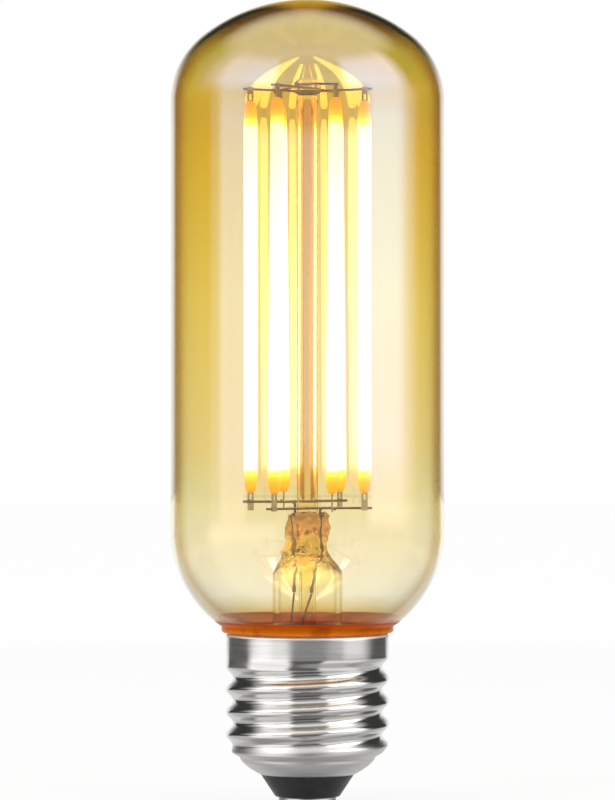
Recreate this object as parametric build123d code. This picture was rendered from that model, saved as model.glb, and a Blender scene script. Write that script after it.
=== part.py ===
from build123d import *
import math
import os

os.makedirs("parts", exist_ok=True)

# Tubular filament lamp on a 27 mm screw cap, in millimetres.
# Z is the lamp's axis, z = 0 is the flat of the centre contact, and the lamp stands cap down.
# Its front is the -Y side. Each piece is one solid in its own file.

# Driving dimensions: screw cap
contact_r = 4.6
contact_h = 1.2
contact_edge = 0.5
contact_tube_r = 0.9
insulator_rim = 0.8
insulator_step = 0.2
insulator_h = 3.65
insulator_edge = 0.6
insulator_seat_h = 2.0
shell_wall = 0.3
shell_hole_r = 7.7
shoulder_h = 2.55
shoulder_bulge = 1.5
shoulder_inset = 1.15
shoulder_step_h = 1.0
thread_pitch = 3.629
thread_root_r = 11.95
thread_depth = 1.12
thread_crest_phase = 0.224
thread_turns = 4.724
thread_levels = 6
thread_fade_in = 2.8
thread_fade_out = 1.6
collar_r = 13.0
collar_h = 3.7
rim_turn_h = 0.45
rim_turn = 0.2

# Driving dimensions: glass envelope and its neck
envelope_r = 22.0
glass_wall = 0.8
crown_room = 16.2
crown_flatness = 5.2
knuckle_r = 13.6
base_arc_r = 18.9
lip_overhang = 0.76
lip_h = 1.0
lip_edge = 0.45
lip_gap = 0.15
neck_wall = 1.1
cement_t = 0.25

# Driving dimensions: glass stem
flare_drop = 0.3
flare_bend = 1.6
tube_r = 5.6
tube_wall = 0.9
tube_h = 8.8
stem_shoulder_h = 4.0
stem_steps = 4
press_h = 6.1
press_cover = 1.25
press_side = 0.6
press_edge = 0.5
exhaust_r = 1.4
exhaust_wall = 0.45
exhaust_tail = 4.4
post_r = 1.7
bead_swell = 0.45
bead_h = 2.7
bead_edge = 0.9
bead_lift = 2.1

# Driving dimensions: filaments, their tabs and the wires
ring_names = ["right", "back_right", "back_left", "left", "front_left", "front_right"]
filament_count = len(ring_names)
filament_ring_r = 9.15
lower_ring_turn = -5
upper_ring_turn = -1
filament_lift = 3.1
filament_len = 62.7
filament_r = 1.05
filament_tip_r = 0.62
filament_end = 2.7
filament_knee = 0.75
tab_w = 1.0
tab_t = 0.2
lower_tab_len = 2.8
upper_tab_len = 2.3
tab_slot_w = 0.35
tab_slot_h = 0.9
tab_slot_edge = 0.15
wire_r = 0.2
wire_bend = 0.6
wire_overhang = 0.7
bridge_weld_depth = 0.3
right_spoke_rise = 0.7
left_spoke_rise = 1.7
weld_r = 0.3
weld_len = 1.0
weld_drop = 6.2
right_weld_x = 0.64
right_weld_room = 1.1
left_weld_room = 0.45
outer_lead_r = 0.16
right_lead_drift = -2.0
left_lead_drift = -0.6

# Driving dimensions: driver inside the cap
board_r = 9.0
board_t = 1.0
board_room = 1.1
chip_x = 4.05
chip_y = 2.7
right_lead_spot = (-1.8, -4.05)
left_lead_spot = (-4.05, 0)
rectifier_size = (4.9, 3.95, 2.5)
chip_size = (4.9, 3.9, 1.5)
capacitor_r = 3.15
capacitor_len = 10.0
capacitor_x = 4.5
groove_half_w = 0.8
groove_depth = 0.4
resistor_r = 1.5
resistor_len = 8.0
resistor_x = -4.5
resistor_cap_len = 2.0
resistor_waist = 0.22
cap_lead_r = 0.3

# Clearances: fused or cemented round faces, wires in their holes, and welded wires
seat_gap = 0.05
hole_gap = 0.03
weld_gap = 0.04
glass_gap = 0.1

# Heights worked out from the cap upwards
shell_z = contact_h + insulator_h
shoulder_z = shell_z + shoulder_h
thread_end_z = shell_z + thread_turns * thread_pitch
collar_z = thread_end_z + thread_fade_out
rim_z = collar_z + collar_h
lip_z = rim_z + lip_gap
neck_z = collar_z + seat_gap
flare_z = lip_z + flare_drop
tube_top_z = flare_z + tube_h
press_z = tube_top_z + stem_shoulder_h
press_top_z = press_z + press_h
filament_z = press_top_z + filament_lift
filament_top_z = filament_z + filament_len
crown_top_z = filament_top_z + crown_room
bead_z = filament_top_z + bead_lift
bridge_weld_z = filament_top_z + upper_tab_len - bridge_weld_depth
weld_z = press_z - weld_drop
board_z = shell_z + insulator_seat_h + board_room + 2 * capacitor_r
board_top_z = board_z + board_t

# Radii and widths worked out from their neighbours
shoulder_top_r = thread_root_r - shoulder_inset
bore_r = thread_root_r - shell_wall
collar_bore_r = collar_r - shell_wall
insulator_bottom_r = contact_r + insulator_rim
insulator_top_r = shell_hole_r - insulator_step
lip_r = collar_r + lip_overhang
neck_r = collar_bore_r - rim_turn - cement_t - 2 * seat_gap
crown_r = envelope_r + crown_flatness
bead_r = post_r + bead_swell
neck_bore_r = neck_r - neck_wall
lead_x = post_r + wire_r + glass_gap
press_half_w = lead_x + wire_r + press_cover
press_half_t = post_r + press_side
tab_to_wire = tab_t / 2 + wire_r + weld_gap
wire_to_wire = 2 * wire_r + weld_gap
bridge_step = wire_to_wire + 2 * hole_gap


def turned(*edges):
    """Solid of revolution about the lamp's axis from a closed outline in (radius, height)."""
    return revolve(Plane.XZ * make_face(edges), Axis.Z)


def outline(*points):
    """Straight edges through (radius, height) points, closed back to the first."""
    return Polyline(*points, close=True).edges()


def rod(radius, *points, bend=None):
    """Round wire along straight runs, with an arc of the given bend radius at each corner."""
    if bend:
        path = FilletPolyline(*points, radius=bend)
    else:
        path = Polyline(*points)
    return sweep(Plane(path @ 0, z_dir=path % 0) * Circle(radius), path=path)


def smooth_step(t):
    """Goes from 0 to 1 with level ends."""
    t = min(1, max(0, t))
    return t * t * (3 - 2 * t)


def on_ring(index, turn):
    """Place on the filament ring, counted from the right, anticlockwise from above."""
    angle = math.radians(turn + 360 / filament_count * index)
    return Vector(filament_ring_r * math.cos(angle), filament_ring_r * math.sin(angle))


def around(index):
    """Plan place of a filament's foot."""
    return on_ring(index, lower_ring_turn)


def head(index):
    """Plan place of a filament's top."""
    return on_ring(index, upper_ring_turn)


# Screw shell, rolled from one sheet. A round thread cut level is a circle set off the axis,
# and its offset turns once in a pitch. It grows above the drawn shoulder, and at the collar
# it stops turning, so the last groove runs out at the right-hand side.
def shoulder_r(z):
    """Outside radius of the drawn-in shoulder, from the bottom hole up to the step below the thread."""
    t = (z - shell_z) / shoulder_h
    return shell_hole_r + (shoulder_top_r - shell_hole_r) * (1 - (1 - t) ** shoulder_bulge)


def shell_level(z, inset):
    """One side of the sheet at one height, as a circle."""
    step = smooth_step((z - shoulder_z) / shoulder_step_h)
    fade_in = smooth_step((z - shoulder_z) / thread_fade_in)
    fade_out = smooth_step((collar_z - z) / thread_fade_out)
    offset = thread_depth / 2 * fade_in * fade_out
    radius = shoulder_top_r + shoulder_inset * step + thread_depth / 2 * fade_in
    radius += (collar_r - radius) * (1 - fade_out)
    if z < shoulder_z:
        radius = shoulder_r(z)
    rim = max(0, (z - rim_z + rim_turn_h) / rim_turn_h)
    radius -= rim_turn * rim * rim
    turn = 2 * math.pi * ((min(z, thread_end_z) - shell_z) / thread_pitch - thread_crest_phase)
    return Pos(offset * math.cos(turn), offset * math.sin(turn), z) * Circle(radius - inset)


def screw_shell():
    levels = round((rim_z - shell_z) / thread_pitch * thread_levels)
    heights = [shell_z + (rim_z - shell_z) * i / levels for i in range(levels + 1)]
    outside = loft([shell_level(z, 0) for z in heights], ruled=True)
    inside = loft([shell_level(z, shell_wall) for z in heights], ruled=True)
    rims = []
    for end in (0, -1):
        cap_out = outside.faces().sort_by(Axis.Z)[end]
        cap_in = inside.faces().sort_by(Axis.Z)[end]
        rims.append(Face(cap_out.outer_wire(), [cap_in.outer_wire()]))
    walls = outside.faces().sort_by(Axis.Z)[1:-1] + inside.faces().sort_by(Axis.Z)[1:-1]
    return Solid(Shell(walls + rims))


# Black glass insulator, moulded into the shell's bottom hole, and the centre contact riveted
# through it. The contact's flat is the lamp's foot.
def insulator():
    seat_z = shell_z + insulator_seat_h
    seat_r = shell_hole_r - shell_wall - seat_gap
    seat_top_r = shoulder_r(seat_z) - shell_wall - seat_gap
    hole_r = contact_tube_r + hole_gap
    return turned(*outline(
        (hole_r, contact_h), (insulator_bottom_r - insulator_edge, contact_h),
        (insulator_bottom_r, contact_h + insulator_edge), (insulator_top_r, shell_z - seat_gap),
        (seat_r, shell_z - seat_gap), (seat_r, shell_z), (seat_top_r, seat_z), (hole_r, seat_z),
    ))


def centre_contact():
    rivet_z = shell_z + insulator_seat_h + seat_gap
    bore = cap_lead_r + hole_gap
    return turned(*outline(
        (0, 0), (contact_r - contact_edge, 0), (contact_r, contact_edge), (contact_r, contact_h - seat_gap),
        (contact_tube_r, contact_h - seat_gap), (contact_tube_r, rivet_z), (bore, rivet_z),
        (bore, contact_edge), (0, contact_edge),
    ))


# Cement ring that holds the glass neck in the collar and shows as a pale line under the lip.
def basing_cement():
    top_z = lip_z - seat_gap
    in_r = neck_r + seat_gap
    out_r = collar_bore_r - rim_turn - seat_gap
    return turned(*outline((in_r, neck_z), (out_r, neck_z), (out_r, top_z), (in_r, top_z)))


# Blown glass envelope: domed crown, straight wall, rounded base, and a thick lip over the cap.
def glass_envelope():
    knuckle_x = envelope_r - knuckle_r
    crown_z = crown_top_z - crown_r
    knuckle_z = crown_z + math.sqrt((crown_r - knuckle_r) ** 2 - knuckle_x ** 2)
    turn = math.degrees(math.atan2(knuckle_z - crown_z, knuckle_x))
    base_x = envelope_r - base_arc_r
    lip_top_z = lip_z + lip_h
    base_turn = math.degrees(math.acos((lip_r - base_x) / base_arc_r))
    base_z = lip_top_z + base_arc_r * math.sin(math.radians(base_turn))
    in_arc_r = base_arc_r - glass_wall
    in_turn = math.degrees(math.acos((neck_bore_r - base_x) / in_arc_r))
    in_z = base_z - in_arc_r * math.sin(math.radians(in_turn))
    in_r = envelope_r - glass_wall
    return turned(
        CenterArc((0, crown_z), crown_r, turn, 90 - turn),
        CenterArc((knuckle_x, knuckle_z), knuckle_r, 0, turn),
        Line((envelope_r, knuckle_z), (envelope_r, base_z)),
        CenterArc((base_x, base_z), base_arc_r, -base_turn, base_turn),
        Line((lip_r, lip_top_z), (lip_r, lip_z + lip_edge)),
        CenterArc((lip_r - lip_edge, lip_z + lip_edge), lip_edge, 270, 90),
        Line((lip_r - lip_edge, lip_z), (neck_r, lip_z)),
        Line((neck_r, lip_z), (neck_r, neck_z)),
        Line((neck_r, neck_z), (neck_bore_r, neck_z)),
        Line((neck_bore_r, neck_z), (neck_bore_r, in_z)),
        CenterArc((base_x, base_z), in_arc_r, -in_turn, in_turn),
        Line((in_r, base_z), (in_r, knuckle_z)),
        CenterArc((knuckle_x, knuckle_z), knuckle_r - glass_wall, 0, turn),
        CenterArc((0, crown_z), crown_r - glass_wall, turn, 90 - turn),
        Line((0, crown_top_z - glass_wall), (0, crown_top_z)),
    )


# Wires of one half of the lamp, for the right-hand lead. The left-hand half is the same turned
# by half a turn and raised, so that its wires pass clear of these.
def weld_line(start, foot, side):
    """Plan direction of a wire from start that passes a tab's flat at welding distance."""
    way = foot - start
    lean = math.degrees(math.asin(tab_to_wire / way.length)) * side
    return Vector(way.X, way.Y).rotate(Axis.Z, lean).normalized()


def spoke_way():
    """Plan direction of the wire from the right-hand lead to the right-hand filament."""
    return weld_line(Vector(lead_x, 0), around(0), 1)


def branch_corners():
    """Plan places of the branch wire's two corners, laid along the front of the spoke."""
    way = spoke_way()
    front = way.rotate(Axis.Z, -90) * wire_to_wire
    near = Vector(lead_x, 0) + front + way * wire_bend
    return near, near + way * (2 * wire_bend)


def lower_wire_ways():
    """Plan direction of the welded wire at each filament's foot, in ring order."""
    near, far = branch_corners()
    half = filament_count // 2
    front_left = weld_line(near, around(half + 1), -1)
    front_right = weld_line(far, around(half + 2), 1)
    ways = {0: spoke_way(), half + 1: front_left, half + 2: front_right}
    for index in list(ways):
        ways[(index + half) % filament_count] = ways[index].rotate(Axis.Z, 180)
    return ways


def at_height(plan, z):
    return Vector(plan.X, plan.Y, z)


def past_tab(start, foot, way):
    """End of a wire a little past the tab that it is welded to."""
    return start + way * ((foot - start).dot(way) + tab_w / 2 + wire_overhang)


def lead_way(weld, top_z):
    """Points of a lead from its weld into the press and straight up to a height."""
    return weld, Vector(lead_x, 0, press_z), Vector(lead_x, 0, top_z)


def inner_lead(weld, spoke_z):
    """Thick lead from its weld sleeve, through the press, to the right-hand filament's tab."""
    end = past_tab(Vector(lead_x, 0), around(0), spoke_way())
    wire = rod(wire_r, *lead_way(weld, spoke_z), at_height(end, spoke_z), bend=wire_bend)
    return wire + Pos(weld) * Cylinder(weld_r, weld_len)


def branch_wire(spoke_z):
    """Wire from the front-left tab round the post to the front-right tab, welded to the spoke."""
    near, far = branch_corners()
    half = filament_count // 2
    left_way = weld_line(near, around(half + 1), -1)
    right_way = weld_line(far, around(half + 2), 1)
    left_end = past_tab(near, around(half + 1), left_way)
    right_end = past_tab(far, around(half + 2), right_way)
    return rod(wire_r, at_height(left_end, spoke_z), at_height(near, spoke_z),
               at_height(far, spoke_z), at_height(right_end, spoke_z), bend=wire_bend)


half_turn = Rot(0, 0, 180)
right_weld = Vector(right_weld_x, -(exhaust_r + right_weld_room), weld_z)
left_weld = Vector(exhaust_r + weld_r + left_weld_room, 0, weld_z)
inner_lead_right = inner_lead(right_weld, press_top_z + right_spoke_rise)
inner_lead_left = half_turn * inner_lead(left_weld, press_top_z + left_spoke_rise)


# Glass stem: a flare fused into the neck, a tube, and a press that pinches the leads.
def stem_section(t, inset, z):
    """Level section of the stem as the tube flattens into the press, t from 0 to 1."""
    share = smooth_step(t)
    half_w = tube_r + (press_half_w - tube_r) * share - inset
    half_t = tube_r + (press_half_t - tube_r) * share - inset
    return Pos(0, 0, z) * Ellipse(half_w, half_t)


def stem_flare():
    rim_r = neck_bore_r - seat_gap
    bend_x = tube_r + flare_bend
    bend_z = flare_z + flare_bend
    in_bend = flare_bend + tube_wall
    bore = tube_r - tube_wall
    flare = turned(
        Line((tube_r, tube_top_z), (tube_r, bend_z)),
        CenterArc((bend_x, bend_z), flare_bend, 180, 90),
        Line((bend_x, flare_z), (rim_r, flare_z)),
        Line((rim_r, flare_z), (rim_r, flare_z - tube_wall)),
        Line((rim_r, flare_z - tube_wall), (bend_x, flare_z - tube_wall)),
        CenterArc((bend_x, bend_z), in_bend, 180, 90),
        Line((bore, bend_z), (bore, tube_top_z)),
        Line((bore, tube_top_z), (tube_r, tube_top_z)),
    )
    shares = [i / stem_steps for i in range(stem_steps + 1)]
    shoulder = [stem_section(t, 0, tube_top_z + stem_shoulder_h * t) for t in shares]
    press = [stem_section(1, 0, press_top_z - press_edge), stem_section(1, press_edge, press_top_z)]
    # the hollow under the press stops short of it by the wall
    roof = 1 - tube_wall / stem_shoulder_h
    hollow = [stem_section(roof * t, tube_wall, tube_top_z + stem_shoulder_h * roof * t) for t in shares]
    top = loft(shoulder + press, ruled=True) - loft(hollow, ruled=True)
    above_z = press_top_z + press_h
    right_hole = rod(wire_r + hole_gap, *lead_way(right_weld, above_z), bend=wire_bend)
    left_hole = half_turn * rod(wire_r + hole_gap, *lead_way(left_weld, above_z), bend=wire_bend)
    return flare + (top - [right_hole, left_hole])


# Exhaust tube hanging from the press through the flare, its tail sealed round inside the cap.
def exhaust_tube():
    top_z = press_z - tube_wall - seat_gap
    bottom_z = flare_z - exhaust_tail
    bore = exhaust_r - exhaust_wall
    tail_z = bottom_z - exhaust_r
    return turned(*outline(
        (bore, top_z), (exhaust_r, top_z), (exhaust_r, bottom_z), (exhaust_wall, tail_z), (0, tail_z),
        (0, tail_z + exhaust_wall), (bore, bottom_z + exhaust_wall),
    ))


# Glass post from the press up to a bead, which grips the three bridge wires.
def bridge_line(index):
    """Plan offset and direction of the wire that joins two opposite filaments, and its height."""
    way = head(index).normalized()
    side = way.rotate(Axis.Z, 90) * tab_to_wire
    return side, way, bead_z + bridge_step * (index - 1)


def bridge_wire(index):
    """Wire level through the bead, one step above the last, with arms that meet the tabs at one height."""
    side, way, z = bridge_line(index)
    near = way * (bead_r + wire_bend)
    reach = way * (filament_ring_r + tab_w / 2 + wire_overhang)
    return rod(wire_r, at_height(side - reach, bridge_weld_z), at_height(side - near, z),
               at_height(side + near, z), at_height(side + reach, bridge_weld_z))


def centre_post():
    foot_z = press_top_z + seat_gap
    bead = Pos(0, 0, bead_z) * Cylinder(bead_r, bead_h)
    bead = fillet(bead.edges().filter_by(GeomType.CIRCLE), bead_edge)
    post = Pos(0, 0, (foot_z + bead_z) / 2) * Cylinder(post_r, bead_z - foot_z)
    holes = []
    for index in range(filament_count // 2):
        side, way, z = bridge_line(index)
        through = way * (2 * bead_r)
        holes.append(rod(wire_r + hole_gap, at_height(side - through, z), at_height(side + through, z)))
    return post + bead - holes


# One filament: a coated rod of light-emitting chips with tapered ends, and a tab at each end.
def filament_rod():
    half = filament_len / 2 - hole_gap
    waist = half - filament_end
    knee = half - filament_end / 2
    knee_r = filament_tip_r + (filament_r - filament_tip_r) * filament_knee
    body = turned(*outline(
        (0, -half), (filament_tip_r, -half), (knee_r, -knee), (filament_r, -waist),
        (filament_r, waist), (knee_r, knee), (filament_tip_r, half), (0, half),
    ))
    return body


def filament(index):
    """The rod from a lower tab to an upper one, which leans a little where the two rings differ."""
    foot = at_height(around(index), filament_z)
    top = at_height(head(index), filament_top_z)
    return Plane((foot + top) / 2, z_dir=top - foot) * filament_rod()


def tab(way, length, filament_side):
    """Thin strip, flat along a plan direction, slotted on the filament's side: 1 above, -1 below."""
    turn = math.degrees(math.atan2(way.Y, way.X))
    slot_z = filament_side * (length / 2 - tab_slot_edge - tab_slot_h / 2)
    slot = Pos(0, 0, slot_z) * Box(tab_slot_w, 2 * tab_t, tab_slot_h)
    return Rot(0, 0, turn) * (Box(tab_w, tab_t, length) - slot)


# Driver in the cap: a round board with its parts, and the leads to the shell and the contact.
def on_board(size, x, y):
    """Small moulded part lying on the board's upper face."""
    return Pos(x, y, board_top_z + size[2] / 2) * Box(*size)


def outer_lead(weld, drift, spot):
    """Thin lead from a weld sleeve, aslant down the stem and through its hole in the board."""
    start = weld - Vector(0, 0, weld_len / 2 + weld_gap + outer_lead_r / 2)
    at_flare = Vector(start.X + drift, start.Y, flare_z)
    above_board = Vector(*spot, board_top_z + 2 * wire_bend)
    return rod(outer_lead_r, start, at_flare, above_board, Vector(*spot, board_z), bend=wire_bend)


def driver_board():
    board = Pos(0, 0, board_z) * Cylinder(board_r, board_t, align=(Align.CENTER, Align.CENTER, Align.MIN))
    for spot in (right_lead_spot, left_lead_spot):
        board -= Pos(*spot, board_z) * Cylinder(outer_lead_r + hole_gap, 3 * board_t)
    return board


def smoothing_capacitor():
    """Can lying under the board, with a rolled groove near its open end."""
    z = board_z - seat_gap - capacitor_r
    groove_y = capacitor_len - 2 * groove_half_w
    can = turned(*outline(
        (0, 0), (capacitor_r, 0), (capacitor_r, groove_y - groove_half_w),
        (capacitor_r - groove_depth, groove_y), (capacitor_r, groove_y + groove_half_w),
        (capacitor_r, capacitor_len), (0, capacitor_len),
    ))
    return Pos(capacitor_x, capacitor_len / 2, z) * Rot(90, 0, 0) * can


def fuse_resistor():
    """Dipped resistor lying under the board, thicker at its two end caps."""
    z = board_z - seat_gap - resistor_r
    waist_r = resistor_r - resistor_waist
    body = turned(*outline(
        (0, 0), (resistor_r, 0), (resistor_r, resistor_cap_len), (waist_r, resistor_cap_len),
        (waist_r, resistor_len - resistor_cap_len), (resistor_r, resistor_len - resistor_cap_len),
        (resistor_r, resistor_len), (0, resistor_len),
    ))
    return Pos(resistor_x, resistor_len / 2, z) * Rot(90, 0, 0) * body


def contact_lead():
    low_z = contact_edge + seat_gap
    length = board_z - seat_gap - low_z
    return Pos(0, 0, low_z) * Cylinder(cap_lead_r, length, align=(Align.CENTER, Align.CENTER, Align.MIN))


def shell_lead():
    """Lead from the board's upper face to the shell's wall at the back."""
    foot = Vector(0, board_r - 2 * cap_lead_r, board_top_z + seat_gap)
    wall = Vector(0, bore_r - seat_gap, foot.Z + 3 * wire_bend)
    return rod(cap_lead_r, foot, Vector(foot.X, foot.Y, wall.Z), wall, bend=wire_bend)


# Build and write each piece
lower_ways = lower_wire_ways()
pieces = {
    "screw_shell": screw_shell(),
    "insulator": insulator(),
    "centre_contact": centre_contact(),
    "basing_cement": basing_cement(),
    "glass_envelope": glass_envelope(),
    "stem_flare": stem_flare(),
    "exhaust_tube": exhaust_tube(),
    "centre_post": centre_post(),
    "inner_lead_right": inner_lead_right,
    "inner_lead_left": inner_lead_left,
    "branch_wire_front": branch_wire(press_top_z + right_spoke_rise),
    "branch_wire_back": half_turn * branch_wire(press_top_z + left_spoke_rise),
    "outer_lead_right": outer_lead(right_weld, right_lead_drift, right_lead_spot),
    "outer_lead_left": outer_lead(left_weld.rotate(Axis.Z, 180), left_lead_drift, left_lead_spot),
    "driver_board": driver_board(),
    "rectifier": on_board(rectifier_size, chip_x, -chip_y),
    "driver_chip": on_board(chip_size, chip_x, chip_y),
    "smoothing_capacitor": smoothing_capacitor(),
    "fuse_resistor": fuse_resistor(),
    "contact_lead": contact_lead(),
    "shell_lead": shell_lead(),
}
for index, name in enumerate(ring_names):
    foot = at_height(around(index), filament_z - lower_tab_len / 2)
    top = at_height(head(index), filament_top_z + upper_tab_len / 2)
    top_way = head(index % (filament_count // 2))
    pieces["filament_" + name] = filament(index)
    pieces["lower_tab_" + name] = Pos(foot) * tab(lower_ways[index], lower_tab_len, 1)
    pieces["upper_tab_" + name] = Pos(top) * tab(top_way, upper_tab_len, -1)
for index in range(filament_count // 2):
    pieces["bridge_wire_" + ring_names[index]] = bridge_wire(index)

for name, piece in pieces.items():
    export_step(piece, "parts/" + name + ".step")
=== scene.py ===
import math

import bpy
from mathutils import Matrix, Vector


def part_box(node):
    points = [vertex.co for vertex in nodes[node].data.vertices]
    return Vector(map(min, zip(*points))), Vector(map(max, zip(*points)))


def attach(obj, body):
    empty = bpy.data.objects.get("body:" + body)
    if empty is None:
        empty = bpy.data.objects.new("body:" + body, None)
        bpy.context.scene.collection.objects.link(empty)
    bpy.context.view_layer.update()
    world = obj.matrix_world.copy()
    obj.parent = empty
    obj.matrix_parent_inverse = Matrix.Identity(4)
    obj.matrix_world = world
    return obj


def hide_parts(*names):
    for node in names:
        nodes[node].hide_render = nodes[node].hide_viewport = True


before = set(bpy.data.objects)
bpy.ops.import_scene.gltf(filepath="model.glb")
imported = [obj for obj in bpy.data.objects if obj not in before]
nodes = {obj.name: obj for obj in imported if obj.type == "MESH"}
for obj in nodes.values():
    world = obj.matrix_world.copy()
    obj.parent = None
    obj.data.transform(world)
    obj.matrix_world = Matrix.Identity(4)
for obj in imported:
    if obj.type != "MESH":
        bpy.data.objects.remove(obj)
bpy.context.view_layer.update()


# Screw shell: thin brass sheet, drawn to a cup and rolled with a round thread, then nickel plated.
# It is raised ring by ring: a round thread cut level is a circle off the axis, which turns with height.
# Its plating is bright on the thread and collar, and satin on the drawn-in shoulder and the rim. The rim's
# top edge is painted whiter, a painted highlight.
mm = 0.001
shell_low, shell_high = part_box("screw_shell")
shell_z, rim_z = shell_low.z, shell_high.z
shell_wall = 0.3 * mm
hole_r = 7.7 * mm
shoulder_z = shell_z + 2.55 * mm
shoulder_bulge = 1.5
shoulder_inset = 1.15 * mm
shoulder_step_h = 1.0 * mm
root_r = 11.95 * mm
thread_depth = 1.12 * mm
thread_pitch = 3.629 * mm
thread_turns = 4.724
thread_end_z = shell_z + thread_turns * thread_pitch
crest_phase = 0.224
fade_in_h = 2.8 * mm
fade_out_h = 1.6 * mm
collar_z = thread_end_z + fade_out_h
collar_r = 13.0 * mm
rim_turn_h = 0.45 * mm
rim_turn = 0.2 * mm
shell_sides = 144
shell_levels = 132


def smooth_step(t):
    t = min(1, max(0, t))
    return t * t * (3 - 2 * t)


def shell_ring(z):
    """Radius of the shell at a height, and how far and which way its circle stands off the axis."""
    step = smooth_step((z - shoulder_z) / shoulder_step_h)
    fade_in = smooth_step((z - shoulder_z) / fade_in_h)
    fade_out = smooth_step((collar_z - z) / fade_out_h)
    radius = root_r - shoulder_inset * (1 - step) + thread_depth / 2 * fade_in
    radius += (collar_r - radius) * (1 - fade_out)
    if z < shoulder_z:
        t = (z - shell_z) / (shoulder_z - shell_z)
        radius = hole_r + (root_r - shoulder_inset - hole_r) * (1 - (1 - t) ** shoulder_bulge)
    radius -= rim_turn * max(0, (z - rim_z + rim_turn_h) / rim_turn_h) ** 2
    offset = thread_depth / 2 * fade_in * fade_out
    turn = 2 * math.pi * ((min(z, thread_end_z) - shell_z) / thread_pitch - crest_phase)
    return radius, offset * math.cos(turn), offset * math.sin(turn)


def start_ring(name, radius, z, sides):
    """A circle of edges at one height, in edit mode, from which a piece is raised."""
    bpy.ops.object.select_all(action="DESELECT")
    bpy.ops.mesh.primitive_circle_add(vertices=sides, radius=radius, location=(0, 0, z))
    piece = bpy.context.object
    piece.name = name
    piece.data.name = name
    bpy.ops.object.transform_apply(location=True, rotation=True, scale=True)
    bpy.ops.object.mode_set(mode="EDIT")
    bpy.ops.mesh.select_all(action="SELECT")
    return piece


def next_ring(shift, grow, centre):
    """Extrudes the selected ring by a shift, then scales the new ring about its own centre."""
    bpy.ops.mesh.extrude_edges_move(TRANSFORM_OT_translate={"value": shift})
    bpy.ops.transform.resize(value=grow, center_override=centre)


def finish_piece(piece, crease_deg=40):
    """Closes seams, turns faces outwards, leaves edit mode and shades the piece smooth."""
    bpy.ops.mesh.select_all(action="SELECT")
    bpy.ops.mesh.remove_doubles(threshold=1e-6)
    bpy.ops.mesh.normals_make_consistent(inside=False)
    bpy.ops.object.mode_set(mode="OBJECT")
    bpy.ops.object.shade_smooth_by_angle(angle=math.radians(crease_deg))


def apply_modifier(piece, kind, **settings):
    modifier = piece.modifiers.new(kind.title(), kind)
    for key, value in settings.items():
        setattr(modifier, key, value)
    bpy.ops.object.select_all(action="DESELECT")
    piece.select_set(True)
    bpy.context.view_layer.objects.active = piece
    bpy.ops.object.modifier_apply(modifier=modifier.name)


def dress(piece, slot, *stands_for):
    """A finished piece rides on the lamp and stands for its CAD nodes."""
    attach(piece, "root")
    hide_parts(*stands_for)


old_r, old_x, old_y = shell_ring(shell_z)
old_z = shell_z
shell = start_ring("screw_shell_rolled", old_r, shell_z, shell_sides)
for level in range(1, shell_levels + 1):
    z = shell_z + (rim_z - shell_z) * level / shell_levels
    r, x, y = shell_ring(z)
    next_ring((x - old_x, y - old_y, z - old_z), (r / old_r, r / old_r, 1), (x, y, z))
    old_r, old_x, old_y, old_z = r, x, y, z
finish_piece(shell, crease_deg=60)
apply_modifier(shell, "SOLIDIFY", thickness=shell_wall, offset=-1)
dress(shell, "nickel", "screw_shell")


def new_material(name, plain=None):
    """A material and its Principled shader, with the sockets that are the same all over set by name."""
    material = bpy.data.materials.new(name)
    material.use_nodes = True
    tree = material.node_tree
    shader = tree.nodes["Principled BSDF"]
    for socket, value in (plain or {}).items():
        shader.inputs[socket].default_value = value
    return material, tree, shader


def add(tree, kind, **values):
    """Adds a node and sets its properties, and its inputs by name."""
    node = tree.nodes.new(kind)
    for key, value in values.items():
        if key in node.inputs:
            node.inputs[key].default_value = value
        else:
            setattr(node, key, value)
    return node


def wire_up(tree, *pairs):
    for start, end in pairs:
        tree.links.new(start, end)


def feed(tree, source, socket):
    """Joins another node's output to a socket, or sets the socket to a plain value."""
    if isinstance(source, bpy.types.NodeSocket):
        tree.links.new(source, socket)
    else:
        socket.default_value = source


def grey(level):
    return (level, level, level)


def ramp(tree, source, stops):
    """A colour ramp with (position, colour) stops, fed by a value."""
    node = tree.nodes.new("ShaderNodeValToRGB")
    elements = node.color_ramp.elements
    while len(elements) < len(stops):
        elements.new(0.5)
    for element, (place, colour) in zip(elements, stops):
        element.position = place
        element.color = (*colour, 1)
    tree.links.new(source, node.inputs["Fac"])
    return node.outputs["Color"]


def mixed(tree, share, first, second, blend="MIX"):
    """Goes from the first colour to the second by a share from 0 to 1."""
    node = add(tree, "ShaderNodeMix", data_type="RGBA", blend_type=blend)
    first_colour, second_colour = node.inputs[6], node.inputs[7]
    feed(tree, share, node.inputs["Factor"])
    feed(tree, first, first_colour)
    feed(tree, second, second_colour)
    mixed_colour = node.outputs[2]
    return mixed_colour


def span(tree, source, low, high, to_low=0.0, to_high=1.0, smooth=False):
    """Carries a value from one span to another, and holds it at the ends."""
    node = add(tree, "ShaderNodeMapRange", interpolation_type="SMOOTHSTEP" if smooth else "LINEAR")
    ends = {"From Min": low, "From Max": high, "To Min": to_low, "To Max": to_high}
    for socket, value in ends.items():
        node.inputs[socket].default_value = value
    tree.links.new(source, node.inputs["Value"])
    return node.outputs["Result"]


def height_share(tree, low_z, high_z):
    """Object height as a share from 0 at low_z to 1 at high_z."""
    place = tree.nodes.new("ShaderNodeTexCoord")
    split = tree.nodes.new("ShaderNodeSeparateXYZ")
    tree.links.new(place.outputs["Object"], split.inputs["Vector"])
    return span(tree, split.outputs["Z"], low_z, high_z)


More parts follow.
